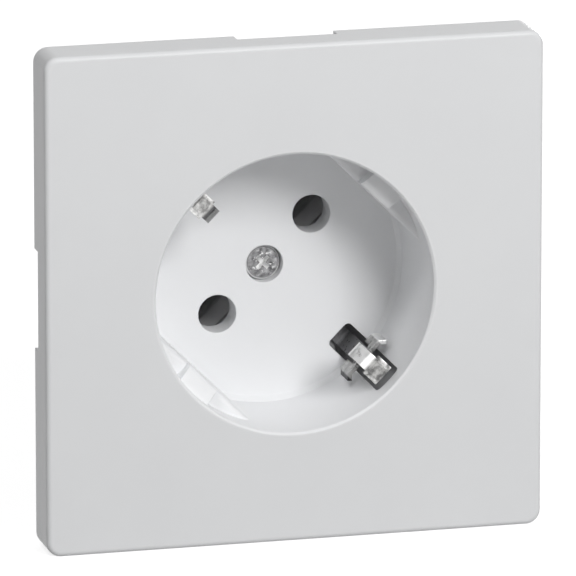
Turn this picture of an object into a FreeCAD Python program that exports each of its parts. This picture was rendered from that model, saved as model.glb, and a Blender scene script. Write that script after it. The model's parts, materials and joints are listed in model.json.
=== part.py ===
import FreeCAD, Part
import math
import os

# Flush wall socket with side earth clips, in millimetres.
# Every piece is drawn facing +Z with the wall plane at Z = 0 and the plug recess on the Z axis.
# place() then stands the finished piece up: the front faces -Y and Z points up.
# Pieces that follow the plug are drawn with the pins on X and the earth clips on Y,
# and are turned by PIN_ANGLE before they are stood up.

# Cover: square plate, skirt down to the wall and plug recess, moulded as one piece
FACE_BORDER = 15.4
SKIRT_DEPTH = 6.8
FACE_THICK = 2.0
SKIRT_THICK = 1.6
CORNER_RADIUS = 2.0
INNER_CORNER_RADIUS = 1.0
EDGE_RADIUS = 0.7
NOTCH_WIDTH = 14.0
NOTCH_DEPTH = 2.0
RIB_THICK = 1.1
FACE_RIB_DEPTH = 1.6
FACE_RIBS = 8

# Plug recess
PIN_ANGLE = 45.0
RECESS_DEPTH = 17.5
RECESS_BEVEL = 0.7
RIM_BEVEL = 0.3
POT_WALL = 1.6
FLOOR_THICK = 2.0
COLLAR_DEPTH = 1.8
COLLAR_WALL = 1.6

# Guides beside the pins: a flat with a ledge on top, and in its middle a nose that slopes inwards
GUIDE_RISE = 2.6
LEDGE_BELOW_FRONT = 5.0
LEDGE_ROUND = 0.8
NOSE_WIDTH = 5.4
NOSE_BELOW_FRONT = 2.6
NOSE_DROP = 1.2
NOSE_ROUND = 0.5

# Plug pins and the way in for them
PIN_SPACING = 19.0
PIN_DIAMETER = 4.8
PIN_CLEARANCE = 0.3
CONTACT_ENTRY = 7.0

# Slots for the earth clips in the floor and the wall of the recess
SLOT_WIDTH = 4.2
SLOT_REACH = 4.75
SLOT_BELOW_FRONT = 2.9
SLOT_ROUND = 0.7

# Earth clips, bent from strip: each inset is counted inwards from the wall of the recess
CLIP_THICK = 0.6
CLIP_BEND = 0.5
CLIP_FOOT_INSET = 8.1
CLIP_STEM_INSET = 2.0
CLIP_STEM_TOP_DEPTH = 9.8
CLIP_APEX_INSET = 5.8
CLIP_APEX_DEPTH = 6.6
CLIP_KNEE_INSET = 3.8
CLIP_KNEE_DEPTH = 4.1
CLIP_LIP_INSET = 0.8
CLIP_LIP_DEPTH = 3.3
CLIP_STEM_WIDTH = 2.6
CLIP_NECK_WIDTH = 2.3
CLIP_LIP_WIDTH = 3.2
CLIP_WIDEN = 1.0
CLIP_LIP_START = 0.7
CLIP_FLANGE_DEPTH = 0.9
CLIP_PAD_START = 1.1
CLIP_PAD_RAISE = 0.15
EAR_SPAN = 7.4
EAR_TIP = 0.7
EAR_BEND = 0.1
EAR_HEIGHT = 3.8
EAR_NECK_HEIGHT = 1.5
EAR_GAP = 0.4

# Centre screw, which holds the cover to the earth bridge
CENTRE_THREAD = 3.0
CENTRE_HEAD = 4.9
CENTRE_HEAD_HEIGHT = 1.6
CENTRE_HEAD_SUNK = 0.9
CENTRE_SCREW_LENGTH = 9.0
HEAD_CLEARANCE = 0.2
SHANK_CLEARANCE = 0.2
THREAD_CLEARANCE = 0.03
BOSS_WALL = 1.8

# Screw heads: each share is of the head's or the recess's own size
HEAD_BEVEL = 0.18
DRIVE_WIDTH = 0.5
DRIVE_DEPTH = 0.8
DRIVER_SLOT_WIDTH = 0.17
DRIVER_SLOT_DEPTH = 0.5
CROSS_FOOT = 0.4
CROSS_BAR = 0.25

# Earth bridge under the recess floor, with its own terminal lug
BRIDGE_THICK = 0.8
BRIDGE_WIDTH = 6.0
BRIDGE_WING_WIDTH = 5.0
BRIDGE_ARM_INSET = 4.4
BRIDGE_BOSS_WALL = 1.0
BRIDGE_BOSS_DEPTH = 1.6
BRIDGE_RISER_INSET = 3.0
BRIDGE_BEND = 0.5
GROOVE_CLEARANCE = 0.2

# Contact cover and socket base behind it
COVER_THICK = 2.4
BASE_FLAT_CUT = 0.6
INSERT_DEPTH = 31.6
BASE_FLOOR = 2.0
LUG_WIDTH = 13.0
LUG_THICK = 3.0
GUARD_GAP = 0.3
GUARD_THICK = 1.5
GUARD_WIDTH = 9.0
CORE_DEPTH = 9.0
CORE_WALL = 1.6

# Terminals: a lug on each contact, a clamp plate and a screw reached from the back
TERMINAL_INSET = 4.7
TERMINAL_LUG_HALF = 4.3
TERMINAL_LUG_LENGTH = 6.4
LUG_LEVEL = 6.0
TRENCH_GAP = 0.3
WELL_HALF_WIDTH = 4.1
WELL_HALF_LENGTH = 2.7
WIRE_GAP = 2.5
WIRE_OFFSET = 2.65
WIRE_BELOW_LUG = 0.15
CLAMP_THICK = 1.1
CLAMP_GAP = 0.2
TERMINAL_THREAD = 3.5
TERMINAL_HEAD = 5.2
TERMINAL_HEAD_HEIGHT = 2.0
TERMINAL_SCREW_LENGTH = 7.6
HOLD_DOWN_THICK = 1.2

# Line and neutral contacts, each bent from one brass strip, with a steel helper spring
CONTACT_THICK = 0.6
CONTACT_BEND = 0.4
RISER_GAP = 1.2
RISER_TO_SCREW = 4.1
LEAF_WIDTH = 7.0
LEAF_FOOT_HALF = 3.2
LEAF_PINCH_HALF = 2.4
LEAF_MOUTH_HALF = 3.6
LEAF_PINCH_BELOW = 3.4
LEAF_MOUTH_BELOW = 0.6
CHAMBER_HALF = 4.6
SPRING_THICK = 0.5
SPRING_HEIGHT = 4.0
SPRING_GAP = 0.1
SPRING_BEND = 0.3
SPRING_BELOW_BEND = 0.5

# Mounting yoke: steel sheet ring on the wall, with two legs that carry the base
YOKE_CLEARANCE = 0.4
YOKE_THICK = 1.2
YOKE_CORNER_CUT = 4.0
YOKE_BEND = 0.8
YOKE_OPENING_GAP = 1.0
LEG_INSIDE_OPENING = 1.0
LEG_WIDTH = 13.0
LEG_RELIEF = 1.2
BOX_SLOT_INSET = 3.0
BOX_SLOT_WIDTH = 3.8
BOX_SLOT_LENGTH = 10.0
CORNER_HOLE_INSET = 6.0
CORNER_HOLE_RADIUS = 1.7

# Rivets through yoke foot, bridge wing, contact cover and base lug
RIVET_DIAMETER = 2.8
RIVET_HEAD = 4.4
RIVET_FROM_BASE = 0.9
RIVET_FROM_END = 2.3
RIVET_FROM_LEG = 3.7
RIVET_HEAD_HEIGHT = 1.0
RIVET_FIT = 0.05

# Levels along Z that follow from the sizes above
FRONT_Z = SKIRT_DEPTH
FLOOR_Z = FRONT_Z - RECESS_DEPTH
FLOOR_BACK_Z = FLOOR_Z - FLOOR_THICK
SEAT_Z = FLOOR_BACK_Z - COLLAR_DEPTH
BRIDGE_BACK_Z = SEAT_Z - BRIDGE_THICK
BASE_TOP_Z = SEAT_Z - COVER_THICK
BASE_BACK_Z = -INSERT_DEPTH
CHAMBER_FLOOR_Z = BASE_BACK_Z + BASE_FLOOR
LUG_BACK_Z = BASE_BACK_Z + LUG_LEVEL
CLAMP_FRONT_Z = LUG_BACK_Z - WIRE_GAP
CLAMP_BACK_Z = CLAMP_FRONT_Z - CLAMP_THICK
LEAF_BEND_Z = (CHAMBER_FLOOR_Z + BASE_TOP_Z) / 2

# Distances from the recess axis that follow, from the pins outwards
PIN_AT = PIN_SPACING / 2
PIN_HOLE_RADIUS = PIN_DIAMETER / 2 + PIN_CLEARANCE
LEAF_INNER = PIN_AT - LEAF_WIDTH / 2
LEAF_OUTER = PIN_AT + LEAF_WIDTH / 2
CHAMBER_INNER = LEAF_INNER - SPRING_GAP - SPRING_THICK
CONTACT_RISER = LEAF_OUTER + RISER_GAP
TERMINAL_RADIUS = CONTACT_RISER + RISER_TO_SCREW
BRIDGE_RISER = TERMINAL_RADIUS - BRIDGE_RISER_INSET
BASE_FLAT = TERMINAL_RADIUS + TERMINAL_INSET
BASE_RADIUS = BASE_FLAT + BASE_FLAT_CUT
RIVET_AT = BASE_RADIUS + RIVET_FROM_BASE + RIVET_HEAD / 2
LUG_LENGTH = RIVET_AT + RIVET_FROM_END
LEG_RADIUS = RIVET_AT - RIVET_FROM_LEG
YOKE_OPENING_RADIUS = LEG_RADIUS + LEG_INSIDE_OPENING
GUARD_RADIUS = YOKE_OPENING_RADIUS - YOKE_OPENING_GAP - GUARD_THICK
POT_RADIUS = GUARD_RADIUS - GUARD_GAP
RECESS_RADIUS = POT_RADIUS - POT_WALL
GUIDE_FLAT = RECESS_RADIUS - GUIDE_RISE
SLOT_INNER_RADIUS = RECESS_RADIUS - SLOT_REACH
BRIDGE_ARM_END = RECESS_RADIUS - BRIDGE_ARM_INSET
CLIP_FOOT_END = RECESS_RADIUS - CLIP_FOOT_INSET
CLIP_STEM_RADIUS = RECESS_RADIUS - CLIP_STEM_INSET
CLIP_APEX_RADIUS = RECESS_RADIUS - CLIP_APEX_INSET
CLIP_KNEE_RADIUS = RECESS_RADIUS - CLIP_KNEE_INSET
CLIP_LIP_RADIUS = RECESS_RADIUS - CLIP_LIP_INSET
PLATE = 2 * (RECESS_RADIUS + FACE_BORDER)
YOKE_HALF = PLATE / 2 - SKIRT_THICK - YOKE_CLEARANCE
BOX_SLOT_AT = YOKE_HALF - BOX_SLOT_INSET
CORNER_HOLE_AT = YOKE_HALF - CORNER_HOLE_INSET
BEYOND = 2.0
TINY = 1e-6
SLIGHT_BEND = 0.5


def box(x_range, y_range, z_range):
    """Block between two limits on each axis."""
    size = [high - low for low, high in (x_range, y_range, z_range)]
    low_corner = FreeCAD.Vector(x_range[0], y_range[0], z_range[0])
    return Part.makeBox(size[0], size[1], size[2], low_corner)


def rod(radius, z_range, x=0.0, y=0.0):
    """Upright cylinder between two heights."""
    return Part.makeCylinder(radius, z_range[1] - z_range[0], FreeCAD.Vector(x, y, z_range[0]))


def corner_arc(before, corner, after, radius):
    """Start, middle and end of the arc that rounds one corner."""
    back = (before - corner).normalize()
    ahead = (after - corner).normalize()
    half = back.getAngle(ahead) / 2
    reach = radius / math.tan(half)
    centre = corner + (back + ahead).normalize() * (radius / math.sin(half))
    middle = centre + (corner - centre).normalize() * radius
    return corner + back * reach, middle, corner + ahead * reach


def rounded_face(corners):
    """Flat face from corners (x, y, rounding radius)."""
    points = [FreeCAD.Vector(x, y, 0) for x, y, radius in corners]
    stops = []
    for index, (x, y, radius) in enumerate(corners):
        before = points[index - 1]
        after = points[(index + 1) % len(points)]
        if radius > 0:
            stops.append(corner_arc(before, points[index], after, radius))
        else:
            stops.append((points[index],))
    edges = []
    for index, stop in enumerate(stops):
        if len(stop) == 3:
            edges.append(Part.Arc(*stop).toShape())
        following = stops[(index + 1) % len(stops)][0]
        edges.append(Part.makeLine(stop[-1], following))
    return Part.Face(Part.Wire(edges))


def rounded_rectangle(width, height, radius):
    """Face of a rectangle about the origin with all corners rounded."""
    signs = ((-1, -1), (1, -1), (1, 1), (-1, 1))
    return rounded_face([(sx * width / 2, sy * height / 2, radius) for sx, sy in signs])


def cut_corner_square(half, cut):
    """Face of a square about the origin with its corners cut off."""
    near = half - cut
    corners = [(half, -near), (half, near), (near, half), (-near, half),
               (-half, near), (-half, -near), (-near, -half), (near, -half)]
    return rounded_face([(x, y, 0) for x, y in corners])


def strip_face(path, thick, bend):
    """Side view of a bent strip: path is its middle line, bend its inner bend radius.

    A slight bend is a plain fold.
    """
    points = [FreeCAD.Vector(x, y, 0) for x, y in path]
    steps = [(b - a).normalize() for a, b in zip(points, points[1:])]
    left, right = [], []
    for index, point in enumerate(points):
        arriving = steps[max(index - 1, 0)]
        leaving = steps[min(index, len(steps) - 1)]
        normal = FreeCAD.Vector(-arriving.y - leaving.y, arriving.x + leaving.x, 0).normalize()
        shift = normal * (thick / 2 / math.cos(arriving.getAngle(leaving) / 2))
        turn = arriving.cross(leaving).z
        inner, outer = (bend, bend + thick) if abs(turn) > SLIGHT_BEND else (0.0, 0.0)
        left_radius, right_radius = (inner, outer) if turn > 0 else (outer, inner)
        left.append((point.x + shift.x, point.y + shift.y, left_radius))
        right.append((point.x - shift.x, point.y - shift.y, right_radius))
    return rounded_face(right + left[::-1])


def upright(face, z_range):
    """Face in X and Y drawn out between two heights."""
    solid = face.extrude(FreeCAD.Vector(0, 0, z_range[1] - z_range[0]))
    solid.translate(FreeCAD.Vector(0, 0, z_range[0]))
    return solid


def across_x(face, width):
    """Face whose X and Y stand for Y and Z, drawn out along X about the middle."""
    solid = upright(face, (-width / 2, width / 2))
    solid.rotate(FreeCAD.Vector(), FreeCAD.Vector(1, 1, 1), 120)
    return solid


def across_y(face, width):
    """Face whose X and Y stand for X and Z, drawn out along Y about the middle."""
    solid = upright(face, (-width / 2, width / 2))
    solid.rotate(FreeCAD.Vector(), FreeCAD.Vector(1, 0, 0), 90)
    return solid


def turned(face):
    """Face whose X and Y stand for radius and Z, turned about the Z axis."""
    profile = face.copy()
    profile.rotate(FreeCAD.Vector(), FreeCAD.Vector(1, 0, 0), 90)
    return profile.revolve(FreeCAD.Vector(), FreeCAD.Vector(0, 0, 1), 360)


def moved(shape, x=0.0, y=0.0, z=0.0):
    """Copy of a shape, shifted."""
    copy = shape.copy()
    copy.translate(FreeCAD.Vector(x, y, z))
    return copy


def spun(shape, angle):
    """Copy of a shape, turned about the Z axis."""
    copy = shape.copy()
    copy.rotate(FreeCAD.Vector(), FreeCAD.Vector(0, 0, 1), angle)
    return copy


def mirrored(shape, normal):
    """Shape reflected through the origin along one axis."""
    return shape.mirror(FreeCAD.Vector(), FreeCAD.Vector(*normal))


def both(shape, normal):
    """Shape with its reflection."""
    return [shape, mirrored(shape, normal)]


def recess():
    """Space of the plug recess, with the guides left standing in it."""
    outline = [
        (0, FLOOR_Z, 0),
        (RECESS_RADIUS - RECESS_BEVEL, FLOOR_Z, 0),
        (RECESS_RADIUS, FLOOR_Z + RECESS_BEVEL, 0),
        (RECESS_RADIUS, FRONT_Z - RIM_BEVEL, 0),
        (RECESS_RADIUS + RIM_BEVEL, FRONT_Z, 0),
        (RECESS_RADIUS + RIM_BEVEL, FRONT_Z + BEYOND, 0),
        (0, FRONT_Z + BEYOND, 0),
    ]
    space = turned(rounded_face(outline))
    ledge = guide_block(LEDGE_BELOW_FRONT, 0, LEDGE_ROUND, 2 * POT_RADIUS)
    nose = guide_block(NOSE_BELOW_FRONT, NOSE_DROP, NOSE_ROUND, NOSE_WIDTH)
    return space.cut(both(ledge, (1, 0, 0)) + both(nose, (1, 0, 0)))


def guide_block(below_front, drop, rounding, width):
    """Block behind a guide's flat face: its front drops inwards from the wall, to a rounded edge."""
    top = FRONT_Z - below_front
    outer = RECESS_RADIUS + 2 * BEYOND
    outline = [
        (GUIDE_FLAT, FLOOR_Z - BEYOND, 0),
        (outer, FLOOR_Z - BEYOND, 0),
        (outer, top, 0),
        (RECESS_RADIUS, top, 0),
        (GUIDE_FLAT, top - drop, rounding),
    ]
    return across_y(rounded_face(outline), width)


def clip_slot():
    """Slot for the earth clip on the +Y side: through the floor and up the wall."""
    outer = POT_RADIUS + BEYOND
    length = outer - SLOT_INNER_RADIUS
    top = FRONT_Z - SLOT_BELOW_FRONT
    bottom = SEAT_Z - BEYOND
    floor_part = upright(rounded_rectangle(SLOT_WIDTH, length, SLOT_ROUND), (bottom, FLOOR_Z + BEYOND))
    floor_part.translate(FreeCAD.Vector(0, (outer + SLOT_INNER_RADIUS) / 2, 0))
    window = across_y(rounded_rectangle(SLOT_WIDTH, top - bottom, SLOT_ROUND), outer - GUIDE_FLAT)
    window.translate(FreeCAD.Vector(0, (outer + GUIDE_FLAT) / 2, (top + bottom) / 2))
    return floor_part.fuse(window)


def pot():
    """Outside of the recess moulding behind the plate, with flats behind the guides."""
    body = rod(POT_RADIUS, (SEAT_Z, FRONT_Z - FACE_THICK))
    flat_top = FRONT_Z - LEDGE_BELOW_FRONT - POT_WALL
    beyond = POT_RADIUS + BEYOND
    flat = box((GUIDE_FLAT + POT_WALL, beyond), (-beyond, beyond), (SEAT_Z - BEYOND, flat_top))
    return body.cut(both(flat, (1, 0, 0)))


def under_floor():
    """Hollow behind the recess floor, around the collars, the boss, the ribs and the clip pads."""
    reach = (SEAT_Z - BEYOND, FLOOR_BACK_Z)
    hollow = rod(RECESS_RADIUS, reach)
    hollow = hollow.common(box((-GUIDE_FLAT, GUIDE_FLAT), (-POT_RADIUS, POT_RADIUS), reach))
    collar = rod(PIN_HOLE_RADIUS + COLLAR_WALL, reach, PIN_AT)
    boss = rod(CENTRE_HEAD / 2 + HEAD_CLEARANCE + BOSS_WALL, reach)
    rib = box((-POT_RADIUS, POT_RADIUS), (-RIB_THICK / 2, RIB_THICK / 2), reach)
    ribs = [spun(rib, angle) for angle in (-PIN_ANGLE, PIN_ANGLE)]
    pad = box((-BRIDGE_WIDTH / 2, BRIDGE_WIDTH / 2), (CLIP_FOOT_END, SLOT_INNER_RADIUS + BEYOND),
              (SEAT_Z + CLIP_THICK, FLOOR_BACK_Z))
    return hollow.cut(both(collar, (1, 0, 0)) + [boss] + ribs + both(pad, (0, 1, 0)))


def face_ribs():
    """Ribs on the back of the plate, between the pot and the skirt."""
    back = FRONT_Z - FACE_THICK
    heights = (back - FACE_RIB_DEPTH, back)
    rib = box((POT_RADIUS - POT_WALL / 2, PLATE), (-RIB_THICK / 2, RIB_THICK / 2), heights)
    inside = PLATE / 2 - SKIRT_THICK / 2
    limit = box((-inside, inside), (-inside, inside), heights)
    return [spun(rib, (index + 0.5) * 360 / FACE_RIBS).common(limit) for index in range(FACE_RIBS)]


def cover_plate():
    """Plate, skirt and plug recess in one moulding."""
    body = upright(rounded_rectangle(PLATE, PLATE, CORNER_RADIUS), (0, FRONT_Z))
    front_edges = [edge for edge in body.Edges
                   if all(abs(vertex.Z - FRONT_Z) < TINY for vertex in edge.Vertexes)]
    body = body.makeFillet(EDGE_RADIUS, front_edges)
    inside = PLATE - 2 * SKIRT_THICK
    hollow = upright(rounded_rectangle(inside, inside, INNER_CORNER_RADIUS), (-BEYOND, FRONT_Z - FACE_THICK))
    notch = box((-NOTCH_WIDTH / 2, NOTCH_WIDTH / 2), (0, PLATE), (-BEYOND, NOTCH_DEPTH))
    body = body.cut([hollow] + [spun(notch, 90 * side) for side in range(4)])

    ribbed = body.fuse([spun(pot(), PIN_ANGLE)] + face_ribs())
    head_seat = FLOOR_Z - CENTRE_HEAD_SUNK - CENTRE_HEAD_HEIGHT
    head_hole = rod(CENTRE_HEAD / 2 + HEAD_CLEARANCE, (head_seat, FLOOR_Z + BEYOND))
    shank_hole = rod(CENTRE_THREAD / 2 + SHANK_CLEARANCE, (SEAT_Z - BEYOND, FLOOR_Z))
    pin_hole = rod(PIN_HOLE_RADIUS, (SEAT_Z - BEYOND, FLOOR_Z + BEYOND), PIN_AT)
    spaces = [recess(), under_floor(), head_hole, shank_hole]
    spaces += both(pin_hole, (1, 0, 0)) + both(clip_slot(), (0, 1, 0))
    return ribbed.cut([spun(space, PIN_ANGLE) for space in spaces]).removeSplitter()


def clip_path():
    """Middle line of the +Y clip as (radius, height), from its foot to its lip."""
    half = CLIP_THICK / 2
    return [
        (CLIP_FOOT_END, SEAT_Z + half),
        (CLIP_STEM_RADIUS, SEAT_Z + half),
        (CLIP_STEM_RADIUS, FRONT_Z - CLIP_STEM_TOP_DEPTH),
        (CLIP_APEX_RADIUS + half, FRONT_Z - CLIP_APEX_DEPTH),
        (CLIP_KNEE_RADIUS, FRONT_Z - CLIP_KNEE_DEPTH),
        (CLIP_LIP_RADIUS, FRONT_Z - CLIP_LIP_DEPTH),
    ]


def clip_outline():
    """Front view of the clip's strip, in X and Z: wide stem and narrow neck."""
    stem_top = FRONT_Z - CLIP_STEM_TOP_DEPTH
    side = [
        (CLIP_STEM_WIDTH / 2, SEAT_Z - BEYOND),
        (CLIP_STEM_WIDTH / 2, stem_top - CLIP_WIDEN),
        (CLIP_NECK_WIDTH / 2, stem_top + CLIP_WIDEN),
        (CLIP_NECK_WIDTH / 2, FRONT_Z),
    ]
    corners = [(x, z, 0) for x, z in side] + [(-x, z, 0) for x, z in reversed(side)]
    return across_y(rounded_face(corners), 4 * POT_RADIUS)


def clip_ear():
    """Side ear of the clip on +X, its tip bent back towards the wall of the recess."""
    top = FRONT_Z - CLIP_STEM_TOP_DEPTH - EAR_GAP
    tip_start = EAR_SPAN / 2 - EAR_TIP
    path = [
        (0, CLIP_STEM_RADIUS),
        (tip_start, CLIP_STEM_RADIUS),
        (EAR_SPAN / 2, CLIP_STEM_RADIUS + EAR_TIP),
    ]
    ear = upright(strip_face(path, CLIP_THICK, EAR_BEND), (top - EAR_HEIGHT, top))
    relief = box((CLIP_STEM_WIDTH / 2, CLIP_STEM_WIDTH / 2 + EAR_GAP), (0, POT_RADIUS),
                 (top - EAR_HEIGHT - BEYOND, top - EAR_NECK_HEIGHT))
    return ear.cut(relief)


def clip_lip_form():
    """Wide plate, folded sides and raised pad of the clip's lip, laid along its slope."""
    knee, lip = clip_path()[-2:]
    length = math.dist(knee, lip)
    slope = math.degrees(math.atan2(lip[1] - knee[1], lip[0] - knee[0]))
    half = CLIP_THICK / 2
    half_width = CLIP_LIP_WIDTH / 2
    plate = box((-half_width, half_width), (CLIP_LIP_START, length), (-half, half))
    flange = box((half_width - half, half_width), (CLIP_LIP_START, length), (-half - CLIP_FLANGE_DEPTH, half))
    pad_half = half_width - CLIP_THICK
    pad = box((-pad_half, pad_half), (CLIP_PAD_START, length - half), (half, half + CLIP_PAD_RAISE))
    form = plate.fuse(both(flange, (1, 0, 0)) + [pad])
    form.rotate(FreeCAD.Vector(), FreeCAD.Vector(1, 0, 0), slope)
    return moved(form, 0, knee[0], knee[1])


def earth_clip():
    """Earth clip on the +Y side: foot, stem with ears, bulge towards the plug, and lip."""
    strip = across_x(strip_face(clip_path(), CLIP_THICK, CLIP_BEND), CLIP_STEM_WIDTH)
    shaped = strip.common(clip_outline())
    return shaped.fuse(both(clip_ear(), (1, 0, 0)) + [clip_lip_form()]).removeSplitter()


def cross_recess(width, depth):
    """Cross-shaped driver recess, down from Z = 0: two bars that taper towards the bottom."""
    half = width / 2
    taper = rounded_face([(-half, 0, 0), (-half * CROSS_FOOT, -depth, 0), (half * CROSS_FOOT, -depth, 0),
                          (half, 0, 0)])
    bar = across_y(taper, width * CROSS_BAR)
    return bar.fuse(spun(bar, 90))


def screw(head, head_height, thread, length, bevel):
    """Screw with its head's top at Z = 0 and its shank pointing down, still without a drive."""
    radius = head / 2
    outline = [
        (0, 0, 0),
        (0, -head_height - length, 0),
        (thread / 2, -head_height - length, 0),
        (thread / 2, -head_height, 0),
        (radius, -head_height, 0),
        (radius, -bevel, 0),
    ]
    if bevel > 0:
        outline.append((radius - bevel, 0, 0))
    return turned(rounded_face(outline))


def centre_screw():
    """Screw through the recess floor into the earth bridge, with a cross recess."""
    body = screw(CENTRE_HEAD, CENTRE_HEAD_HEIGHT, CENTRE_THREAD, CENTRE_SCREW_LENGTH,
                 CENTRE_HEAD_HEIGHT * HEAD_BEVEL)
    drive = cross_recess(CENTRE_HEAD * DRIVE_WIDTH, CENTRE_HEAD_HEIGHT * DRIVE_DEPTH)
    return moved(body.cut(drive), z=FLOOR_Z - CENTRE_HEAD_SUNK)


def terminal_thread():
    """Thread hole of a terminal lug, on +X."""
    radius = TERMINAL_THREAD / 2 + THREAD_CLEARANCE
    return rod(radius, (LUG_BACK_Z - BEYOND, LUG_BACK_Z + 2 * BEYOND), TERMINAL_RADIUS)


def terminal_lug(thick):
    """Terminal lug on +X, seated on the base's ledge."""
    start = TERMINAL_RADIUS - TERMINAL_LUG_LENGTH / 2
    return box((start, start + TERMINAL_LUG_LENGTH), (-TERMINAL_LUG_HALF, TERMINAL_LUG_HALF),
               (LUG_BACK_Z, LUG_BACK_Z + thick))


def bridge_outline(clearance):
    """Flat part of the earth bridge, grown by a clearance for the groove that takes it."""
    half = BRIDGE_WIDTH / 2 + clearance
    arm_end = BRIDGE_ARM_END + clearance
    thickness = (BRIDGE_BACK_Z, SEAT_Z)
    wing_half = BRIDGE_WING_WIDTH / 2 + clearance
    wings = box((-LUG_LENGTH, LUG_LENGTH), (-wing_half, wing_half), thickness)
    arms = box((-half, half), (-arm_end, BRIDGE_RISER - BRIDGE_BEND), thickness)
    return arms.fuse(spun(wings, -PIN_ANGLE))


def earth_bridge():
    """Stamped strip under the recess floor: centre thread, wings to the yoke, earth terminal lug."""
    half = BRIDGE_THICK / 2
    path = [
        (0, SEAT_Z - half),
        (BRIDGE_RISER, SEAT_Z - half),
        (BRIDGE_RISER, LUG_BACK_Z + half),
        (TERMINAL_RADIUS, LUG_BACK_Z + half),
    ]
    riser = across_x(strip_face(path, BRIDGE_THICK, BRIDGE_BEND), BRIDGE_WIDTH)
    boss_radius = CENTRE_THREAD / 2 + BRIDGE_BOSS_WALL
    boss = rod(boss_radius, (BRIDGE_BACK_Z - BRIDGE_BOSS_DEPTH, SEAT_Z))
    thread = rod(CENTRE_THREAD / 2 + THREAD_CLEARANCE, (BASE_BACK_Z, FRONT_Z))
    bend_start = BRIDGE_RISER - BRIDGE_BEND - BRIDGE_THICK
    bend = box((-BRIDGE_WIDTH, BRIDGE_WIDTH), (bend_start, POT_RADIUS), (BASE_BACK_Z, FRONT_Z))
    body = bridge_outline(0).cut(bend).fuse([riser, spun(terminal_lug(BRIDGE_THICK), 90), boss])
    return body.cut([thread, spun(terminal_thread(), 90)] + rivet_holes()).removeSplitter()


def rivet_holes():
    """Both rivet holes, drawn with the pins on X."""
    hole = rod(RIVET_DIAMETER / 2 + RIVET_FIT, (BASE_BACK_Z, FRONT_Z), RIVET_AT)
    return [spun(side, -PIN_ANGLE) for side in both(hole, (1, 0, 0))]


def insert_outline(z_range):
    """Round body of the insert with flats at the wire entries."""
    body = rod(BASE_RADIUS, z_range)
    limit = box((-BASE_FLAT, BASE_FLAT), (-BASE_FLAT, BASE_FLAT), z_range)
    return body.common(limit)


def riveting_lugs(z_range):
    """Pair of lugs under the yoke's feet, drawn with the pins on X."""
    face = rounded_rectangle(2 * LUG_LENGTH, LUG_WIDTH, LUG_THICK / 2)
    return spun(upright(face, z_range), -PIN_ANGLE)


def hold_downs():
    """Ribs under the contact cover that press one terminal lug on its ledge, on +X."""
    reach = TERMINAL_LUG_LENGTH / 2 - HOLD_DOWN_THICK
    rib = box((TERMINAL_RADIUS - reach, TERMINAL_RADIUS + reach),
              (TERMINAL_LUG_HALF - HOLD_DOWN_THICK, TERMINAL_LUG_HALF),
              (LUG_BACK_Z + BRIDGE_THICK, BASE_TOP_Z))
    return both(rib, (0, 1, 0))


def guards():
    """Upright walls outside the pot, which close the clip slots off from behind."""
    z_range = (BASE_TOP_Z, FRONT_Z - FACE_THICK - FACE_RIB_DEPTH - GUARD_GAP)
    ring = rod(GUARD_RADIUS + GUARD_THICK, z_range).cut(rod(GUARD_RADIUS, z_range))
    reach = (-BASE_RADIUS, BASE_RADIUS)
    return ring.common(box((-GUARD_WIDTH / 2, GUARD_WIDTH / 2), reach, z_range))


def contact_cover():
    """Insulating plate over the contacts, with the pin entries, the bridge's groove and the guards."""
    z_range = (BASE_TOP_Z, SEAT_Z)
    body = insert_outline(z_range).fuse([riveting_lugs(z_range), guards()])
    for angle in (0, 90, 180):
        body = body.fuse([spun(rib, angle) for rib in hold_downs()])
    entry = moved(upright(rounded_rectangle(CONTACT_ENTRY, CONTACT_ENTRY, 0), (BASE_BACK_Z, FRONT_Z)), PIN_AT)
    boss_hole = rod(CENTRE_THREAD / 2 + BRIDGE_BOSS_WALL + GROOVE_CLEARANCE, (BASE_BACK_Z, FRONT_Z))
    way_half = BRIDGE_WIDTH / 2 + GROOVE_CLEARANCE
    way_end = BRIDGE_RISER + BRIDGE_THICK / 2 + GROOVE_CLEARANCE
    way_start = BRIDGE_RISER - BRIDGE_THICK / 2 - BRIDGE_BEND - GROOVE_CLEARANCE
    riser_way = box((-way_half, way_half), (way_start, way_end), (BASE_BACK_Z, FRONT_Z))
    cuts = both(entry, (1, 0, 0)) + [boss_hole, riser_way, bridge_outline(GROOVE_CLEARANCE)]
    return body.cut(cuts + rivet_holes()).removeSplitter()


def terminal_space():
    """Trench, screw well and wire entries of one terminal, on +X."""
    start = TERMINAL_RADIUS - TERMINAL_LUG_LENGTH / 2 - TRENCH_GAP
    end = TERMINAL_RADIUS + TERMINAL_LUG_LENGTH / 2 + TRENCH_GAP
    trench = box((start, end), (-CHAMBER_HALF, CHAMBER_HALF), (LUG_BACK_Z, FRONT_Z))
    well = box((TERMINAL_RADIUS - WELL_HALF_LENGTH, TERMINAL_RADIUS + WELL_HALF_LENGTH),
               (-WELL_HALF_WIDTH, WELL_HALF_WIDTH), (BASE_BACK_Z - BEYOND, LUG_BACK_Z))
    wire_radius = WIRE_GAP / 2
    entry_start = FreeCAD.Vector(TERMINAL_RADIUS, WIRE_OFFSET, LUG_BACK_Z - WIRE_BELOW_LUG - wire_radius)
    entry = Part.makeCylinder(wire_radius, BASE_RADIUS, entry_start, FreeCAD.Vector(1, 0, 0))
    return [trench, well] + both(entry, (0, 1, 0))


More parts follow.
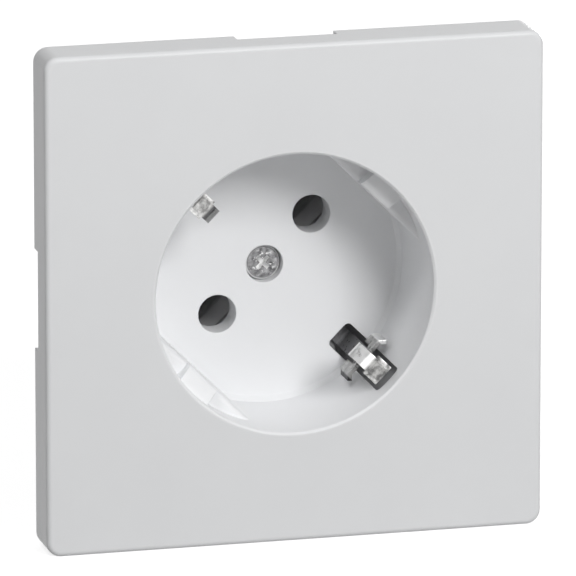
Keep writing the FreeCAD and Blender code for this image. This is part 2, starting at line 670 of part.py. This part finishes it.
def socket_base():
    """Moulded base with chambers for the contacts, open at the front, and terminal wells at the back."""
    body = insert_outline((BASE_BACK_Z, BASE_TOP_Z)).fuse(riveting_lugs((BASE_TOP_Z - LUG_THICK, BASE_TOP_Z)))
    pit_end = CONTACT_RISER + CONTACT_THICK / 2 + CONTACT_BEND
    pit = box((CHAMBER_INNER, pit_end), (-CHAMBER_HALF, CHAMBER_HALF), (CHAMBER_FLOOR_Z, FRONT_Z))
    spaces = both(pit, (1, 0, 0))
    for angle in (0, 90, 180):
        spaces += [spun(space, angle) for space in terminal_space()]
    spaces.append(rod(CENTRE_THREAD / 2 + BRIDGE_BOSS_WALL + GROOVE_CLEARANCE,
                      (SEAT_Z - CENTRE_SCREW_LENGTH, FRONT_Z)))
    core_half = CHAMBER_INNER
    spaces.append(box((-core_half, core_half), (-BASE_FLAT + 2 * CORE_WALL, -CHAMBER_HALF - CORE_WALL),
                      (BASE_BACK_Z - BEYOND, BASE_BACK_Z + CORE_DEPTH)))
    return body.cut(spaces + rivet_holes()).removeSplitter()


def contact():
    """Pin contact on +X: two springy leaves on a common foot, and a strip up to the terminal lug."""
    half = CONTACT_THICK / 2
    foot_z = CHAMBER_FLOOR_Z + half
    leaf = [
        (0, foot_z),
        (LEAF_FOOT_HALF, foot_z),
        (LEAF_FOOT_HALF, LEAF_BEND_Z),
        (LEAF_PINCH_HALF, BASE_TOP_Z - LEAF_PINCH_BELOW),
        (LEAF_MOUTH_HALF, BASE_TOP_Z - LEAF_MOUTH_BELOW),
    ]
    side = moved(across_x(strip_face(leaf, CONTACT_THICK, CONTACT_BEND), LEAF_WIDTH), PIN_AT)
    path = [
        (PIN_AT, foot_z),
        (CONTACT_RISER, foot_z),
        (CONTACT_RISER, LUG_BACK_Z + half),
        (TERMINAL_RADIUS, LUG_BACK_Z + half),
    ]
    riser = across_y(strip_face(path, CONTACT_THICK, CONTACT_BEND), 2 * LEAF_FOOT_HALF - CONTACT_THICK)
    body = side.fuse([mirrored(side, (0, 1, 0)), riser, terminal_lug(CONTACT_THICK)])
    return body.cut(terminal_thread()).removeSplitter()


def contact_spring():
    """Helper spring on +X: a U of spring steel that presses both leaves together."""
    arm = LEAF_FOOT_HALF + CONTACT_THICK / 2 + SPRING_GAP + SPRING_THICK / 2
    back = LEAF_INNER - SPRING_GAP - SPRING_THICK / 2
    path = [(LEAF_OUTER, arm), (back, arm), (back, -arm), (LEAF_OUTER, -arm)]
    top = LEAF_BEND_Z - SPRING_BELOW_BEND
    return upright(strip_face(path, SPRING_THICK, SPRING_BEND), (top - SPRING_HEIGHT, top))


def clamp_plate():
    """Plate on +X that presses two wires against the terminal lug."""
    half_length = WELL_HALF_LENGTH - CLAMP_GAP
    half_width = WELL_HALF_WIDTH - CLAMP_GAP
    plate = box((-half_length, half_length), (-half_width, half_width), (CLAMP_BACK_Z, CLAMP_FRONT_Z))
    hole = rod(TERMINAL_THREAD / 2 + SHANK_CLEARANCE, (BASE_BACK_Z, FRONT_Z))
    return moved(plate.cut(hole), TERMINAL_RADIUS)


def terminal_screw():
    """Slotted terminal screw on +X, its head towards the back."""
    body = screw(TERMINAL_HEAD, TERMINAL_HEAD_HEIGHT, TERMINAL_THREAD, TERMINAL_SCREW_LENGTH, 0)
    slot_half = TERMINAL_HEAD * DRIVER_SLOT_WIDTH / 2
    slot_depth = TERMINAL_HEAD_HEIGHT * DRIVER_SLOT_DEPTH
    body = body.cut(box((-TERMINAL_HEAD, TERMINAL_HEAD), (-slot_half, slot_half), (-slot_depth, 0)))
    body.rotate(FreeCAD.Vector(), FreeCAD.Vector(1, 0, 0), 180)
    return moved(body, TERMINAL_RADIUS, z=CLAMP_BACK_Z - TERMINAL_HEAD_HEIGHT)


def long_hole(length, width, z_range):
    """Upright space with round ends, its long side on X."""
    half = (length - width) / 2
    ends = [rod(width / 2, z_range, x) for x in (-half, half)]
    return box((-half, half), (-width / 2, width / 2), z_range).fuse(ends)


def mounting_yoke():
    """Sheet steel ring behind the cover, with screw slots, corner holes and two bent legs."""
    z_range = (0, YOKE_THICK)
    cut_range = (-BEYOND, YOKE_THICK + BEYOND)
    ring = upright(cut_corner_square(YOKE_HALF, YOKE_CORNER_CUT), z_range)
    leg_start = YOKE_OPENING_RADIUS + YOKE_THICK
    window_half = LEG_WIDTH / 2 + LEG_RELIEF
    window = box((-leg_start, leg_start), (-window_half, window_half), cut_range)
    slot = moved(long_hole(BOX_SLOT_LENGTH, BOX_SLOT_WIDTH, cut_range), y=BOX_SLOT_AT)
    slots = [spun(slot, 90 * side) for side in range(4)]
    corners = [(sx * CORNER_HOLE_AT, sy * CORNER_HOLE_AT) for sx in (-1, 1) for sy in (-1, 1)]
    holes = [rod(CORNER_HOLE_RADIUS, cut_range, x, y) for x, y in corners]
    ring = ring.cut([rod(YOKE_OPENING_RADIUS, cut_range), window] + slots + holes)
    foot_z = SEAT_Z + YOKE_THICK / 2
    path = [
        (leg_start + YOKE_THICK, YOKE_THICK / 2),
        (LEG_RADIUS, YOKE_THICK / 2),
        (LEG_RADIUS, foot_z),
        (LUG_LENGTH, foot_z),
    ]
    leg = across_y(strip_face(path, YOKE_THICK, YOKE_BEND), LEG_WIDTH)
    rivet_hole = rod(RIVET_DIAMETER / 2 + RIVET_FIT, (BASE_BACK_Z, FRONT_Z), RIVET_AT)
    leg = leg.cut(rivet_hole)
    return ring.fuse(both(leg, (1, 0, 0))).removeSplitter()


def yoke_rivet():
    """Rivet on +X through foot, bridge wing, contact cover and base lug, closed at both ends."""
    top = SEAT_Z + YOKE_THICK
    bottom = BASE_TOP_Z - LUG_THICK
    heads = [rod(RIVET_HEAD / 2, (top, top + RIVET_HEAD_HEIGHT), RIVET_AT),
             rod(RIVET_HEAD / 2, (bottom - RIVET_HEAD_HEIGHT, bottom), RIVET_AT)]
    return rod(RIVET_DIAMETER / 2, (bottom, top), RIVET_AT).fuse(heads)


def place(shape, angle):
    """Piece turned about the recess axis, then stood up with its front to -Y."""
    stood = spun(shape, angle)
    stood.rotate(FreeCAD.Vector(), FreeCAD.Vector(1, 0, 0), 90)
    return stood


def pieces():
    """Every piece by name, with the angle that it is turned by."""
    clip = earth_clip()
    pin_contact = contact()
    spring = contact_spring()
    plate = clamp_plate()
    screw_at_terminal = terminal_screw()
    rivet = yoke_rivet()
    return {
        "cover_plate": (cover_plate(), 0),
        "mounting_yoke": (mounting_yoke(), 0),
        "yoke_rivet_right": (rivet, 0),
        "yoke_rivet_left": (rivet, 180),
        "contact_cover": (contact_cover(), PIN_ANGLE),
        "socket_base": (socket_base(), PIN_ANGLE),
        "earth_bridge": (earth_bridge(), PIN_ANGLE),
        "centre_screw": (centre_screw(), PIN_ANGLE),
        "earth_clip_upper": (clip, PIN_ANGLE),
        "earth_clip_lower": (clip, PIN_ANGLE + 180),
        "line_contact": (pin_contact, PIN_ANGLE + 180),
        "line_contact_spring": (spring, PIN_ANGLE + 180),
        "line_clamp_plate": (plate, PIN_ANGLE + 180),
        "line_terminal_screw": (screw_at_terminal, PIN_ANGLE + 180),
        "neutral_contact": (pin_contact, PIN_ANGLE),
        "neutral_contact_spring": (spring, PIN_ANGLE),
        "neutral_clamp_plate": (plate, PIN_ANGLE),
        "neutral_terminal_screw": (screw_at_terminal, PIN_ANGLE),
        "earth_clamp_plate": (plate, PIN_ANGLE + 90),
        "earth_terminal_screw": (screw_at_terminal, PIN_ANGLE + 90),
    }


def main():
    """Write one file per piece."""
    os.makedirs("parts", exist_ok=True)
    for name, (shape, angle) in pieces().items():
        solid = place(shape, angle)
        print(name, "solids", len(solid.Solids), "valid", solid.isValid(), "volume", round(solid.Volume, 1))
        solid.exportStep(os.path.join("parts", name + ".step"))


main()
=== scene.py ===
import json
import math

import bpy
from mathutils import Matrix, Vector


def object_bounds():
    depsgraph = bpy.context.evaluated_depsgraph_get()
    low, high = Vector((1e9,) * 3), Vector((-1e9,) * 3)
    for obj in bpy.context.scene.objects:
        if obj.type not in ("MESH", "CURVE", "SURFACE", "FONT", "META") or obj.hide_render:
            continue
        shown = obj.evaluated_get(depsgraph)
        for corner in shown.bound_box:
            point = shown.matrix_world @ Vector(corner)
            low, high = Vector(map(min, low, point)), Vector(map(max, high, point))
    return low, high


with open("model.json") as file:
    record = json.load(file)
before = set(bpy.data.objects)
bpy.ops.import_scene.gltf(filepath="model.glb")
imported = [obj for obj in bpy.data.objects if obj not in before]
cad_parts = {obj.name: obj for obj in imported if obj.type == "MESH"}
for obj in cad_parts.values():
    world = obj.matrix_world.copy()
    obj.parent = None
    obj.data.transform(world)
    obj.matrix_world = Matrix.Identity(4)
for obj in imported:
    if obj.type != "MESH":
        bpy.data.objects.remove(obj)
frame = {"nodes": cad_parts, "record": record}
cad_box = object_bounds()

# Camera, as fitted to the photo: metres, degrees, and millimetres for lens and sensor
TARGET = Vector((-0.00111, -0.0068, 0.000947))
AZIMUTH = math.radians(-14.409)
ELEVATION = math.radians(14.339)
DISTANCE = 1.2852
LENS = 588.7
SENSOR = 36.0
VIEW_START = 0.01
VIEW_END = 100

# Each lamp: name, the way to it from the recess, side in metres, power in watts
LAMPS = (("key", Vector((0.30, -1.0, 0.60)), 0.28, 3.9),
         ("top", Vector((-0.9, -1.0, 2.2)), 0.18, 1.27),
         ("back", Vector((0.8, 1.0, 0.1)), 0.30, 3.6))
LAMP_DISTANCE = 0.8
AMBIENT = 0.17

# Floor: its glow where it is seen directly, near and far, and the distances between which that changes
FLOOR_HALF = 3.0
FLOOR_COLOR = (0.5, 0.5, 0.5, 1)
FLOOR_ROUGHNESS = 0.9
FLOOR_GLOW = (0.80, 0.93)
GLOW_DISTANCE = (0.25, 0.8)

# Colours of the cover, the insert and the contacts, with painted light in the plug recess and the contact
# chambers
WHITE = (1, 1, 1, 1)
COVER_LIGHT = (0.768, 0.774, 0.782, 1)
COVER_DARK = (0.753, 0.759, 0.768, 1)
COVER_WORN = (0.785, 0.79, 0.80, 1)
# Painted light: the plug recess, painted whiter than the front and the skirt
RECESS_PAINTED_LIGHT = (0.865, 0.87, 0.88, 1)
INSERT_LIGHT = (0.36, 0.36, 0.37, 1)
INSERT_DARK = (0.30, 0.30, 0.31, 1)
INSERT_WORN = (0.42, 0.42, 0.43, 1)
# Painted light: the insides of the contact chambers, painted pale
CHAMBER_PAINTED_LIGHT = (0.88, 0.88, 0.89, 1)
# Contacts' own colour, painted paler than bare contact metal: partly painted light for the chambers seen
# through the pin holes
CONTACT_PARTLY_PAINTED_LIGHT = (0.88, 0.88, 0.89, 1)
CONTACT_DULL_PARTLY_PAINTED_LIGHT = (0.80, 0.80, 0.81, 1)

# Colours of the metals, and of the places on the cover screw and the earth clips, most of these places
# painted light and painted shade
NICKEL = (0.60, 0.597, 0.59, 1)
NICKEL_DULL = (0.30, 0.298, 0.293, 1)
NICKEL_WORN = (0.66, 0.655, 0.645, 1)
ZINC = (0.60, 0.605, 0.61, 1)
ZINC_DULL = (0.40, 0.403, 0.41, 1)
ZINC_WORN = (0.76, 0.76, 0.765, 1)
BRASS = (0.78, 0.60, 0.30, 1)
BRASS_DULL = (0.60, 0.44, 0.20, 1)
BRASS_WORN = (0.86, 0.70, 0.40, 1)
SPRING = (0.36, 0.36, 0.37, 1)
SPRING_DULL = (0.24, 0.24, 0.25, 1)
SPRING_WORN = (0.50, 0.50, 0.50, 1)
HEAD = (0.36, 0.36, 0.365, 1)
HEAD_DULL = (0.07, 0.07, 0.073, 1)
# Painted light on the head's bevel ring, in place of a dark reflection
HEAD_RING_PAINTED_LIGHT = (0.34, 0.34, 0.345, 1)
# Painted highlights near the middle of the head
HEAD_PAINTED_HIGHLIGHT = (0.92, 0.92, 0.92, 1)
# Painted light inside the head's cross drive
DRIVE_PAINTED_LIGHT = (0.93, 0.93, 0.93, 1)
# Painted shade on the clips' stems, deep in the slots
WELL_PAINTED_SHADE = (0.17, 0.17, 0.176, 1)
# Painted highlight on the lower clip's knee; painted shade on the upper clip's knee, grey inside and a
# dark band outside
KNEE_PAINTED_HIGHLIGHT = (0.97, 0.97, 0.96, 1)
KNEE_PAINTED_SHADE = (0.11, 0.11, 0.112, 1)
KNEE_INNER_PAINTED_SHADE = (0.36, 0.36, 0.355, 1)
# Painted shade: the lower clip's lip, darker than the upper clip's, with blotches of random tone
LOWER_LIP_PAINTED_SHADE = (0.38, 0.378, 0.37, 1)
LOWER_LIP_DULL_PAINTED_SHADE = (0.15, 0.15, 0.148, 1)
# Painted highlight along the side ridges of the lower lip
LIP_RIDGE_PAINTED_HIGHLIGHT = (0.62, 0.62, 0.61, 1)
# The upper clip's lip in the metal's own tone, blotched at random
UPPER_LIP = (0.60, 0.597, 0.59, 1)
UPPER_LIP_DULL = (0.26, 0.258, 0.254, 1)
# Painted highlight along the side ridges of the upper lip
UPPER_LIP_RIDGE_PAINTED_HIGHLIGHT = (0.80, 0.797, 0.79, 1)
# Painted highlight on one ear tip of each clip, painted shade on the other
EAR_TIP_PAINTED_HIGHLIGHT = (0.95, 0.95, 0.94, 1)
EAR_TIP_PAINTED_SHADE = (0.05, 0.05, 0.051, 1)

# Metal share of a surface
METAL = 1.0
NOT_METAL = 0.0
# Contacts nearly unmetallic, so that their pale colour lights the chambers: partly painted light
CONTACT_METAL = 0.15
# Bevel ring of the cover screw nearly unmetallic, so that its painted light shows
RING_METAL = 0.2

# What all finishes share
EVEN = (1, 1, 1)
NOISE_DETAIL = 3.0
NOISE_ROUGHNESS = 0.55
NOISE_SPAN = (0.3, 0.7)
BEVEL_SAMPLES = 6
EDGE_REACH = 0.25
RUB_LEAST = 0.35
RUB_ROUGHER = 0.06
RELIEF_STRENGTH = 0.6

# Each mask below is a pair of limits: where it starts, and from where on it is whole
# Earth clips, in metres: distance aside from the clip's middle, depth, and distance from the recess axis;
# these place painted highlight and painted shade
STEM_HALF = 0.0015
LIP_HALF = 0.00175
KNEE_DEPTH = (0.0006, -0.0004)
WELL_DEPTH = (0.0035, 0.0055)
LIP_RADIUS = (0.0160, 0.0164)
BAND_RADIUS = (0.0153, 0.0157)
RIDGE_ASIDE = (0.0010, 0.0014)
HIGHLIGHT_TIP_ASIDE = (0.0029, 0.0031)
SHADED_TIP_ASIDE = (-0.0033, -0.0035)
LIP_SPOTS = 1100
LIP_SPOT_SPAN = (0.38, 0.62)

# Cover screw's head, in metres: distance from the recess axis, and depth; these place painted light and
# painted highlights
HEAD_RADIUS = 0.0026
RING_RADIUS = (0.00205, 0.0022)
DRIVE_DEPTH = (0.01166, 0.01176)
HEAD_BLOTCHES = 1300
HEAD_HIGHLIGHT_SPOTS = 1900
HEAD_HIGHLIGHT_DETAIL = 1.0
HEAD_HIGHLIGHT_SPAN = (0.58, 0.66)
HEAD_HIGHLIGHT_RADIUS = (0.0022, 0.0008)

# Contact chambers, where painted light pales the insert, in metres: pins from the recess axis, distance
# from a pin's middle, and depth
PIN_AT = 0.0095
CHAMBER_REACH = (0.0060, 0.0056)
CHAMBER_DEPTH = (0.0303, 0.0297)

# Plug recess, painted whiter as painted light, in metres: distance from its axis
RECESS_RADIUS = (0.0202, 0.0196)

DIAGONAL = math.sqrt(0.5)


def node(tree, kind, inputs=None, **settings):
    """Add one shader node, set its options and its unlinked inputs."""
    made = tree.nodes.new(kind)
    for name, value in settings.items():
        setattr(made, name, value)
    for name, value in (inputs or {}).items():
        made.inputs[name].default_value = value
    return made


def noise(tree, scale, detail=NOISE_DETAIL, stretch=EVEN):
    """Noise in the object's own coordinates, in features per metre, stretched per axis."""
    place = node(tree, "ShaderNodeTexCoord")
    mapping = node(tree, "ShaderNodeMapping", {"Scale": stretch})
    texture = node(tree, "ShaderNodeTexNoise",
                   {"Scale": scale, "Detail": detail, "Roughness": NOISE_ROUGHNESS})
    tree.links.new(place.outputs["Object"], mapping.inputs["Vector"])
    tree.links.new(mapping.outputs["Vector"], texture.inputs["Vector"])
    return texture.outputs["Fac"]


def ranged(tree, value, source, target):
    """Value spread from one range over another, and kept inside it."""
    spread = node(tree, "ShaderNodeMapRange", {"From Min": source[0], "From Max": source[1],
                                               "To Min": target[0], "To Max": target[1]})
    tree.links.new(value, spread.inputs["Value"])
    return spread.outputs["Result"]


def mask(tree, value, limits):
    """0 up to the first limit and 1 from the second on."""
    return ranged(tree, value, limits, (0.0, 1.0))


def mixed(tree, share, first, second):
    """Colour between two others; each is a fixed colour or another node's output."""
    mix = node(tree, "ShaderNodeMix", data_type="RGBA")
    tree.links.new(share, mix.inputs["Factor"])
    for name, color in (("A", first), ("B", second)):
        socket = next(s for s in mix.inputs if s.name == name and s.type == "RGBA")
        if isinstance(color, tuple):
            socket.default_value = color
        else:
            tree.links.new(color, socket)
    return next(s for s in mix.outputs if s.type == "RGBA")


def calculated(tree, operation, *values):
    """Arithmetic on one or two values; each is a number or another node's output."""
    step = node(tree, "ShaderNodeMath", operation=operation)
    for socket, value in zip(step.inputs, values):
        if isinstance(value, (int, float)):
            socket.default_value = value
        else:
            tree.links.new(value, socket)
    return step.outputs["Value"]


def product(tree, first, second):
    """Product of two values or masks."""
    return calculated(tree, "MULTIPLY", first, second)


def edges(tree, radius):
    """Softened normal along the edges, and how much of an edge each point is."""
    bevel = node(tree, "ShaderNodeBevel", {"Radius": radius}, samples=BEVEL_SAMPLES)
    shape = node(tree, "ShaderNodeNewGeometry")
    dot = node(tree, "ShaderNodeVectorMath", operation="DOT_PRODUCT")
    tree.links.new(bevel.outputs["Normal"], dot.inputs[0])
    tree.links.new(shape.outputs["Normal"], dot.inputs[1])
    edge = ranged(tree, dot.outputs["Value"], (1.0 - EDGE_REACH, 1.0), (1.0, 0.0))
    return bevel.outputs["Normal"], edge


def bumped(tree, height, distance, normal):
    """Surface relief of a given height in metres, on top of another normal."""
    bump = node(tree, "ShaderNodeBump", {"Strength": RELIEF_STRENGTH, "Distance": distance})
    tree.links.new(height, bump.inputs["Height"])
    tree.links.new(normal, bump.inputs["Normal"])
    return bump.outputs["Normal"]


def position(tree, axes):
    """The named coordinates of the point in the shared frame."""
    place = node(tree, "ShaderNodeTexCoord")
    split = node(tree, "ShaderNodeSeparateXYZ")
    tree.links.new(place.outputs["Object"], split.inputs["Vector"])
    return [split.outputs[axis] for axis in axes]


def axis_distance(tree, first, second):
    """Distance from the axis that is square to two coordinates."""
    squares = [product(tree, value, value) for value in (first, second)]
    return calculated(tree, "SQRT", calculated(tree, "ADD", *squares))


def diagonals(tree, x, z):
    """Distances along the row of pins, up to the right, and along that of the clips, down to the right."""
    return [product(tree, calculated(tree, way, x, z), DIAGONAL) for way in ("ADD", "SUBTRACT")]


def clip_areas(tree):
    """Painted highlight and shade on the knees, blotched lips with painted shade on the lower one and
    painted highlight on the ridges, painted highlight and shade on the ear tips, and painted shade on the
    stem in the dark of the slot.
    """
    x, y, z = position(tree, "XYZ")
    aside, along = diagonals(tree, x, z)
    spread = calculated(tree, "ABSOLUTE", aside)
    radius = calculated(tree, "ABSOLUTE", along)
    lower = calculated(tree, "GREATER_THAN", along, 0.0)
    stem = calculated(tree, "LESS_THAN", spread, STEM_HALF)
    plate = calculated(tree, "LESS_THAN", spread, LIP_HALF)
    blotches = mask(tree, noise(tree, LIP_SPOTS), LIP_SPOT_SPAN)
    # Painted highlight on the lower knee and painted shade on the upper knee
    knee_light_and_shade = product(tree, stem, mask(tree, y, KNEE_DEPTH))
    # Painted shade on the stem, deep in the slot
    deep_stem_shade = product(tree, stem, mask(tree, y, WELL_DEPTH))
    lip = product(tree, plate, mask(tree, radius, LIP_RADIUS))
    # Painted highlight along the lip's side ridges, in blotches
    ridge_highlight = product(tree, lip, product(tree, mask(tree, spread, RIDGE_ASIDE), blotches))
    # Painted shade on the upper clip's knee
    upper_knee_shaded = mixed(tree, mask(tree, radius, BAND_RADIUS), KNEE_INNER_PAINTED_SHADE, KNEE_PAINTED_SHADE)
    upper_lip = mixed(tree, blotches, UPPER_LIP_DULL, UPPER_LIP)
    # Painted shade: the lower lip darker than the upper lip
    lower_lip_shaded = mixed(tree, blotches, LOWER_LIP_DULL_PAINTED_SHADE, LOWER_LIP_PAINTED_SHADE)
    return [(knee_light_and_shade, mixed(tree, lower, upper_knee_shaded, KNEE_PAINTED_HIGHLIGHT), METAL),
            (lip, mixed(tree, lower, upper_lip, lower_lip_shaded), METAL),
            (ridge_highlight, mixed(tree, lower, UPPER_LIP_RIDGE_PAINTED_HIGHLIGHT, LIP_RIDGE_PAINTED_HIGHLIGHT), METAL),
            # Painted highlight on one ear tip, painted shade on the other
            (mask(tree, aside, HIGHLIGHT_TIP_ASIDE), EAR_TIP_PAINTED_HIGHLIGHT, METAL),
            (mask(tree, aside, SHADED_TIP_ASIDE), EAR_TIP_PAINTED_SHADE, METAL),
            (deep_stem_shade, WELL_PAINTED_SHADE, NOT_METAL)]


def head_areas(tree):
    """Blotched face, painted highlights near the middle, and painted light on the bevel ring and in the
    drive of the cover screw's head.
    """
    x, y, z = position(tree, "XYZ")
    radius = axis_distance(tree, x, z)
    head = calculated(tree, "LESS_THAN", radius, HEAD_RADIUS)
    blotches = mask(tree, noise(tree, HEAD_BLOTCHES), NOISE_SPAN)
    # Painted highlights near the middle of the head
    spots = product(tree, mask(tree, radius, HEAD_HIGHLIGHT_RADIUS),
                    mask(tree, noise(tree, HEAD_HIGHLIGHT_SPOTS, HEAD_HIGHLIGHT_DETAIL), HEAD_HIGHLIGHT_SPAN))
    return [(head, mixed(tree, blotches, HEAD_DULL, HEAD), METAL),
            (spots, HEAD_PAINTED_HIGHLIGHT, METAL),
            # Painted light on the bevel ring and in the cross drive
            (product(tree, head, mask(tree, radius, RING_RADIUS)), HEAD_RING_PAINTED_LIGHT, RING_METAL),
            (product(tree, head, mask(tree, y, DRIVE_DEPTH)), DRIVE_PAINTED_LIGHT, NOT_METAL)]


def chamber_painted_light(tree):
    """Painted light: pale insides of the contact chambers, as seen through the pin holes."""
    x, y, z = position(tree, "XYZ")
    along, aside = diagonals(tree, x, z)
    from_pin = calculated(tree, "SUBTRACT", calculated(tree, "ABSOLUTE", along), PIN_AT)
    near = mask(tree, axis_distance(tree, from_pin, aside), CHAMBER_REACH)
    return [(product(tree, near, mask(tree, y, CHAMBER_DEPTH)), CHAMBER_PAINTED_LIGHT, NOT_METAL)]


def recess_painted_light(tree):
    """Painted light: the plug recess, painted whiter than the front and the skirt."""
    x, z = position(tree, "XZ")
    return [(mask(tree, axis_distance(tree, x, z), RECESS_RADIUS), RECESS_PAINTED_LIGHT, NOT_METAL)]


def finish_of(name, colors, metallic, rough, spots, grain, relief, edge, stretch=EVEN, shine=0.5,
              areas=None):
    """Procedural material: blotched colour, uneven gloss, fine relief and rubbed edges.

    colors are light, dark and worn; rough is the least and the most roughness. spots and grain are
    features per metre; relief and edge are in metres. areas gives masks with a colour and a metal
    share of their own.
    """
    light, dark, worn = colors
    material = bpy.data.materials.new(name)
    material.use_nodes = True
    tree = material.node_tree
    surface = tree.nodes["Principled BSDF"]
    surface.inputs["Metallic"].default_value = metallic
    surface.inputs["Specular IOR Level"].default_value = shine
    patches = noise(tree, spots)
    fine = noise(tree, grain, stretch=stretch)
    normal, edge_share = edges(tree, edge)
    rubbed = product(tree, edge_share, ranged(tree, patches, NOISE_SPAN, (RUB_LEAST, 1.0)))
    body = mixed(tree, mask(tree, patches, NOISE_SPAN), dark, light)
    color = mixed(tree, rubbed, body, worn)
    bare = metallic
    for area, tint, metal in (areas(tree) if areas else []):
        color = mixed(tree, area, color, tint)
        if metal != metallic:
            bare = calculated(tree, "SUBTRACT", bare, product(tree, area, metallic - metal))
            tree.links.new(bare, surface.inputs["Metallic"])
    tree.links.new(color, surface.inputs["Base Color"])
    smooth = ranged(tree, fine, NOISE_SPAN, rough)
    roughness = calculated(tree, "ADD", smooth, product(tree, rubbed, RUB_ROUGHER))
    tree.links.new(roughness, surface.inputs["Roughness"])
    tree.links.new(bumped(tree, fine, relief, normal), surface.inputs["Normal"])
    return material


FINISHES = {
    "cover_plastic": dict(
        colors=(COVER_LIGHT, COVER_DARK, COVER_WORN), metallic=NOT_METAL, rough=(0.34, 0.42),
        spots=60, grain=3200, relief=0.000004, edge=0.00022, shine=0.25, areas=recess_painted_light),
    "insert_plastic": dict(
        colors=(INSERT_LIGHT, INSERT_DARK, INSERT_WORN), metallic=NOT_METAL, rough=(0.5, 0.62),
        spots=120, grain=4200, relief=0.000012, edge=0.00015, areas=chamber_painted_light),
    "yoke_steel": dict(
        colors=(ZINC, ZINC_DULL, ZINC_WORN), metallic=METAL, rough=(0.36, 0.5),
        spots=160, grain=2600, relief=0.000003, edge=0.00012, stretch=(1, 1, 0.12)),
    "rivet_steel": dict(
        colors=(ZINC, ZINC_DULL, ZINC_WORN), metallic=METAL, rough=(0.32, 0.46),
        spots=400, grain=5200, relief=0.000003, edge=0.0001),
    "bridge_brass": dict(
        colors=(BRASS, BRASS_DULL, BRASS_WORN), metallic=METAL, rough=(0.3, 0.44),
        spots=220, grain=3800, relief=0.000002, edge=0.0001, stretch=(1, 1, 0.15)),
    "contact_metal": dict(
        colors=(CONTACT_PARTLY_PAINTED_LIGHT, CONTACT_DULL_PARTLY_PAINTED_LIGHT, NICKEL_WORN), metallic=CONTACT_METAL, rough=(0.4, 0.54),
        spots=260, grain=3800, relief=0.000002, edge=0.0001, stretch=(1, 0.15, 1)),
    "clip_metal": dict(
        colors=(NICKEL, NICKEL_DULL, NICKEL_WORN), metallic=METAL, rough=(0.24, 0.4),
        spots=900, grain=1500, relief=0.00001, edge=0.00012, areas=clip_areas),
    "screw_steel": dict(
        colors=(ZINC, ZINC_DULL, ZINC_WORN), metallic=METAL, rough=(0.24, 0.4),
        spots=400, grain=1700, relief=0.00006, edge=0.00014, areas=head_areas),
    "clamp_steel": dict(
        colors=(ZINC, ZINC_DULL, ZINC_WORN), metallic=METAL, rough=(0.34, 0.5),
        spots=400, grain=5200, relief=0.000003, edge=0.0001),
    "spring_steel": dict(
        colors=(SPRING, SPRING_DULL, SPRING_WORN), metallic=METAL, rough=(0.34, 0.48),
        spots=400, grain=5200, relief=0.000002, edge=0.00008),
}


def dress_nodes():
    """Give each piece the material of its slot in the record."""
    materials = {name: finish_of(name, **settings) for name, settings in FINISHES.items()}
    slots = {entry["node"]: entry["material_slot"] for entry in frame["record"]["subparts"]}
    for name, obj in frame["nodes"].items():
        obj.data.materials.clear()
        obj.data.materials.append(materials[slots[name]])


def seen_directly(tree):
    """1 for camera, glossy and transmission rays, which show the background, otherwise 0."""
    path = node(tree, "ShaderNodeLightPath")
    first = calculated(tree, "MAXIMUM", path.outputs["Is Camera Ray"], path.outputs["Is Glossy Ray"])
    return calculated(tree, "MAXIMUM", first, path.outputs["Is Transmission Ray"])


def make_floor():
    """Pale floor under the lower edge of the cover; it keeps the shadow."""
    low = cad_box[0][2]
    corners = [(-FLOOR_HALF, -FLOOR_HALF, low), (FLOOR_HALF, -FLOOR_HALF, low),
               (FLOOR_HALF, FLOOR_HALF, low), (-FLOOR_HALF, FLOOR_HALF, low)]
    mesh = bpy.data.meshes.new("floor")
    mesh.from_pydata(corners, [], [(0, 1, 2, 3)])
    floor = bpy.data.objects.new("floor", mesh)
    bpy.context.scene.collection.objects.link(floor)
    material = bpy.data.materials.new("floor")
    material.use_nodes = True
    tree = material.node_tree
    surface = tree.nodes["Principled BSDF"]
    surface.inputs["Base Color"].default_value = FLOOR_COLOR
    surface.inputs["Roughness"].default_value = FLOOR_ROUGHNESS
    surface.inputs["Specular IOR Level"].default_value = 0.0
    surface.inputs["Emission Color"].default_value = WHITE
    x, y = position(tree, "XY")
    strength = ranged(tree, axis_distance(tree, x, y), GLOW_DISTANCE, FLOOR_GLOW)
    tree.links.new(product(tree, seen_directly(tree), strength), surface.inputs["Emission Strength"])
    mesh.materials.append(material)


def make_world():
    """Even white surroundings: full white where seen, weaker as light."""
    world = bpy.data.worlds.new("surroundings")
    world.use_nodes = True
    tree = world.node_tree
    background = tree.nodes["Background"]
    background.inputs["Color"].default_value = WHITE
    strength = calculated(tree, "ADD", product(tree, seen_directly(tree), 1.0 - AMBIENT), AMBIENT)
    tree.links.new(strength, background.inputs["Strength"])
    bpy.context.scene.world = world


def aimed(name, data, way, place):
    """Put a lamp or the camera at a place, so that it looks back along the way to it."""
    holder = bpy.data.objects.new(name, data)
    holder.location = place
    holder.rotation_euler = (-way).to_track_quat("-Z", "Y").to_euler()
    bpy.context.scene.collection.objects.link(holder)
    return holder


def make_lamp(name, way, size, power):
    """Soft square lamp that faces the recess."""
    lamp = bpy.data.lights.new(name, "AREA")
    lamp.size = size
    lamp.energy = power
    aimed(name, lamp, way, way.normalized() * LAMP_DISTANCE)


def make_camera():
    """Camera of the photo."""
    data = bpy.data.cameras.new("camera")
    data.lens = LENS
    data.sensor_width = SENSOR
    data.clip_start = VIEW_START
    data.clip_end = VIEW_END
    way = Vector((math.sin(AZIMUTH) * math.cos(ELEVATION), -math.cos(AZIMUTH) * math.cos(ELEVATION),
                  math.sin(ELEVATION)))
    bpy.context.scene.camera = aimed("camera", data, way, TARGET + way * DISTANCE)


dress_nodes()
make_floor()
make_world()
for lamp_settings in LAMPS:
    make_lamp(*lamp_settings)
make_camera()
bpy.context.scene.view_settings.view_transform = "Standard"
